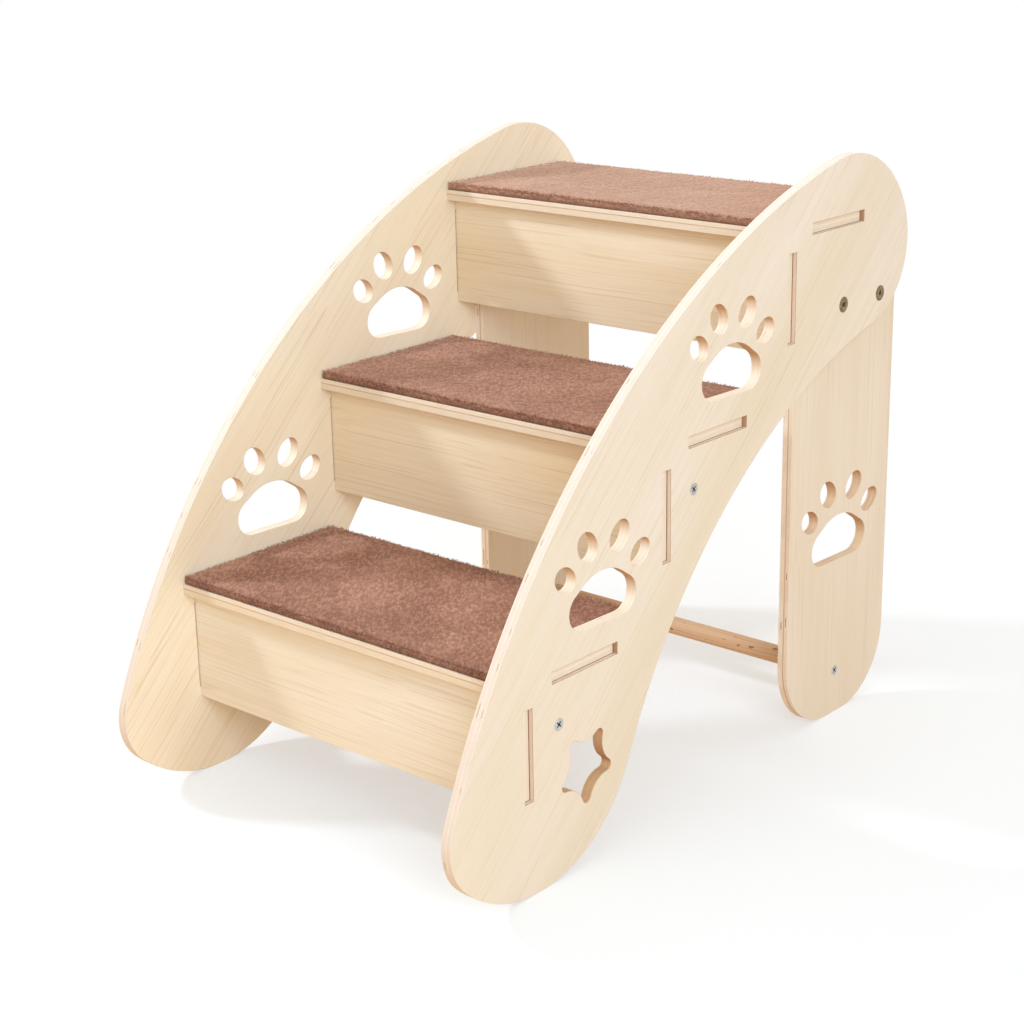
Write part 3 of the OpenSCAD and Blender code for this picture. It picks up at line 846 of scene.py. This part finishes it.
def pad_shape(name, size, middle):
    bpy.ops.object.select_all(action="DESELECT")
    bpy.ops.mesh.primitive_grid_add(x_subdivisions=round(size.x / CELL),
                                    y_subdivisions=round(size.y / CELL), size=1)
    piece = bpy.context.object
    piece.name = piece.data.name = name
    in_edit(piece, "VERT", "SELECT")
    bpy.ops.transform.resize(value=(size.x - 2 * ROUND, size.y - 2 * ROUND, 1))
    bpy.ops.mesh.region_to_loop()
    # In mm in from the edge and down from the top: a quarter round in steps, then the
    # short straight side down to the tread.
    arc = [math.radians(90 * k / ROUND_STEPS) for k in range(1, ROUND_STEPS + 1)]
    rings = [(ROUND / MM * (1 - math.sin(a)), ROUND / MM * (1 - math.cos(a))) for a in arc]
    rings += [(0.0, STRAIGHT_TO), (PULLED_IN, size.z / MM)]
    for inset, depth in rings:
        done()
        growth = growth_to(piece, (size.x - 2 * inset * MM, size.y - 2 * inset * MM))
        deep = min(v.co.z for v in piece.data.vertices if v.select)
        bpy.ops.object.mode_set(mode="EDIT")
        bpy.ops.mesh.extrude_edges_move(
            TRANSFORM_OT_translate={"value": (0, 0, -depth * MM - deep)})
        bpy.ops.transform.resize(value=growth)
    bpy.ops.mesh.edge_face_add()
    bpy.ops.mesh.select_all(action="SELECT")
    bpy.ops.mesh.normals_make_consistent(inside=False)
    done()
    piece.location = middle
    bpy.ops.object.transform_apply(location=True, rotation=True, scale=True)
    return piece


print("a pad's grid has cells of", round(CELL / MM, 2), "mm")

# %% The pile on a pad
def clouds(name, size):
    texture = bpy.data.textures.new(name, "CLOUDS")
    texture.noise_scale = size
    return texture


tuft_clouds = clouds("tuft_clouds", 3.2 * MM)
lump_clouds = clouds("lump_clouds", 7.0 * MM)
worn_clouds = clouds("worn_clouds", 46 * MM)
# The grey that leaves the pile where it is. Most of a cloud is darker, so most of the
# pile sinks a little, and only the tips rise.
EVEN_GREY = 0.62
# How far each texture moves the pile, and which way: a tuft stands out from the surface.
LIFTS = ((worn_clouds, 1.2 * MM, "Z"), (lump_clouds, 0.6 * MM, "Z"),
         (tuft_clouds, 0.8 * MM, "NORMAL"))


def pad(node, name, sheen_share):
    low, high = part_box(node)
    low.y += SET_BACK
    size = high - low
    piece = pad_shape(name, size,
                      Vector(((low.x + high.x) / 2, (low.y + high.y) / 2, high.z)))
    plain = points_of(piece.data)
    # From 0 on top of the pile to 1 on the tread. The foot begins to darken half way
    # down, and from three quarters down the pile is held fast.
    below = (high.z - plain[:, 2]) / size.z
    keep_on(piece.data, "cut", np.clip(below * 2.4 - 1.3, 0, 1))
    group = piece.vertex_groups.new(name="free_pile")
    for index, share in enumerate(below):
        group.add([index], float(max(0.0, 1 - share * 1.3)), "REPLACE")
    for texture, amount, direction in LIFTS:
        lift = piece.modifiers.new(texture.name, "DISPLACE")
        lift.texture = texture
        lift.texture_coords = "GLOBAL"
        lift.strength = amount
        lift.mid_level = EVEN_GREY
        lift.vertex_group = "free_pile"
        lift.direction = direction
        bpy.ops.object.modifier_apply(modifier=lift.name)
    # A point that stays at its height gets a middling tone, and one a millimetre up a pale
    # one:
    #     # painted light on the raised pile and painted shade on the sunk pile.
    raised = (points_of(piece.data)[:, 2] - plain[:, 2]) / (2.4 * MM)
    keep_on(piece.data, "tip", np.clip(0.6 + raised, 0, 1))
    keep_on(piece.data, "painted_sheen", np.full(len(plain), sheen_share))
    piece.data.materials.append(pile)
    only(piece)
    bpy.ops.object.shade_smooth()
    finish_piece(piece, node)
    return piece


print("relief textures:", [t.name for t in bpy.data.textures])

# %% [markdown]
# The fibres along the cut stand out a little on all four sides, most at the front. One
# small bent tuft is modelled and set along the rim, each with its own lean and length.

# %% One tuft
TUFT_LENGTH = 2.6 * MM
bpy.ops.object.select_all(action="DESELECT")
bpy.ops.mesh.primitive_cone_add(vertices=4, radius1=0.75 * MM, radius2=0.30 * MM,
                                depth=TUFT_LENGTH, location=(0, 0, TUFT_LENGTH / 2))
tuft_piece = bpy.context.object
tuft_piece.name = "tuft_pattern"
bpy.ops.object.transform_apply(location=True, rotation=True, scale=True)
in_edit(tuft_piece, "VERT", "SELECT")
for height in (0.9, 1.7):
    bpy.ops.mesh.select_all(action="SELECT")
    bpy.ops.mesh.bisect(plane_co=(0, 0, height * MM), plane_no=(0, 0, 1))
done()
# Bent like a grass blade: the further up, the further over.
tuft_points = np.array([v.co for v in tuft_piece.data.vertices])
tuft_points[:, 0] += (tuft_points[:, 2] / MM) ** 2 * 0.16 * MM
tuft_faces = [list(f.vertices) for f in tuft_piece.data.polygons]
bpy.data.objects.remove(tuft_piece)
print("one tuft:", len(tuft_faces), "faces")

# %% Where each tuft of a fringe stands
FRONT, BACK, LEFT, RIGHT = (0, -1), (0, 1), (-1, 0), (1, 0)
# In mm for each side: from tuft to tuft, in from the edge, and down from the top.
FRINGE = {FRONT: (0.24, 0.9, (0.8, 6.0)), BACK: (0.8, 1.6, (1.8, 3.2)),
          LEFT: (0.8, 1.7, (1.8, 3.2)), RIGHT: (0.8, 1.7, (1.8, 3.2))}
CORNER = 0.8 * MM


def tuft_rows(low, high, draw):
    # Each tuft's side, and how far along that side it stands, from 0 to 1.
    rows = []
    for side, (spacing, _, _) in FRINGE.items():
        length = (high.x - low.x) if side[1] else (high.y - low.y)
        for k in range(int(length / (spacing * MM))):
            rows.append((side, (k + draw.random()) * spacing * MM / length))
    return [(side, share) for side, share in rows if share <= 1]


def tuft_place(side, share, low, high, draw):
    _, inset, depths = FRINGE[side]
    if side[1]:
        x = low.x + CORNER + share * (high.x - low.x - 2 * CORNER)
        y = (low.y if side[1] < 0 else high.y) - side[1] * inset * MM
    else:
        x = (low.x if side[0] < 0 else high.x) - side[0] * inset * MM
        y = low.y + CORNER + share * (high.y - low.y - 2 * CORNER)
    deep = draw.uniform(*depths)
    out = math.atan2(side[1], side[0]) + draw.gauss(0, 0.7)
    if side == FRONT:
        # The lower a tuft stands on the front, the more it hangs over.
        lean = min(1.9, 0.45 + 0.20 * deep + draw.gauss(0, 0.2))
    else:
        lean = draw.uniform(0.1, 0.8)
    size = draw.uniform(0.55, 0.95)
    turn = (Matrix.Translation((x, y, high.z - deep * MM)) @ Matrix.Rotation(out, 4, "Z")
            @ Matrix.Rotation(lean, 4, "Y") @ Matrix.Scale(size, 4))
    return deep, np.array(turn)


print("tufts on each cm of a front:", round(10 / FRINGE[FRONT][0]))

# %% The fringe round a pad
def fringe(node, name, sheen_share, seed):
    low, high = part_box(node)
    low.y += SET_BACK
    draw = random.Random(seed)
    points, faces, feet = [], [], []
    for side, share in tuft_rows(low, high, draw):
        deep, turned = tuft_place(side, share, low, high, draw)
        start = len(points)
        points.extend((tuft_points @ turned[:3, :3].T + turned[:3, 3]).tolist())
        faces.extend([[start + i for i in face] for face in tuft_faces])
        # The tufts low on the front are as dark as the foot of the pile behind them.
        feet.extend([min(0.6, max(0.0, deep - 3.4) * 0.25)] * len(tuft_points))
    mesh = bpy.data.meshes.new(name)
    mesh.from_pydata(points, [], faces)
    keep_on(mesh, "cut", feet)
    keep_on(mesh, "tip", np.full(len(points), 0.7))
    keep_on(mesh, "painted_sheen", np.full(len(points), sheen_share))
    piece = bpy.data.objects.new(name, mesh)
    bpy.context.scene.collection.objects.link(piece)
    mesh.materials.append(pile)
    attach(piece, WHOLE_BODY)
    print(name, len(faces), "faces")
    return piece


# %% Three pads with their fringes
# How much painted sheen each pad gets: the top pad is painted paler, as light for the
# brightest step.
PAINTED_SHEEN_BY_LEVEL = {"bottom": 0.0, "middle": 0.1, "top": 1.0}
for number, level in enumerate(LEVELS):
    node = "carpet_" + level
    low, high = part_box(node)
    rug = pad(node, "pile_pad_" + level, PAINTED_SHEEN_BY_LEVEL[level])
    edge = fringe(node, "pile_fringe_" + level, PAINTED_SHEEN_BY_LEVEL[level], 40 + number)
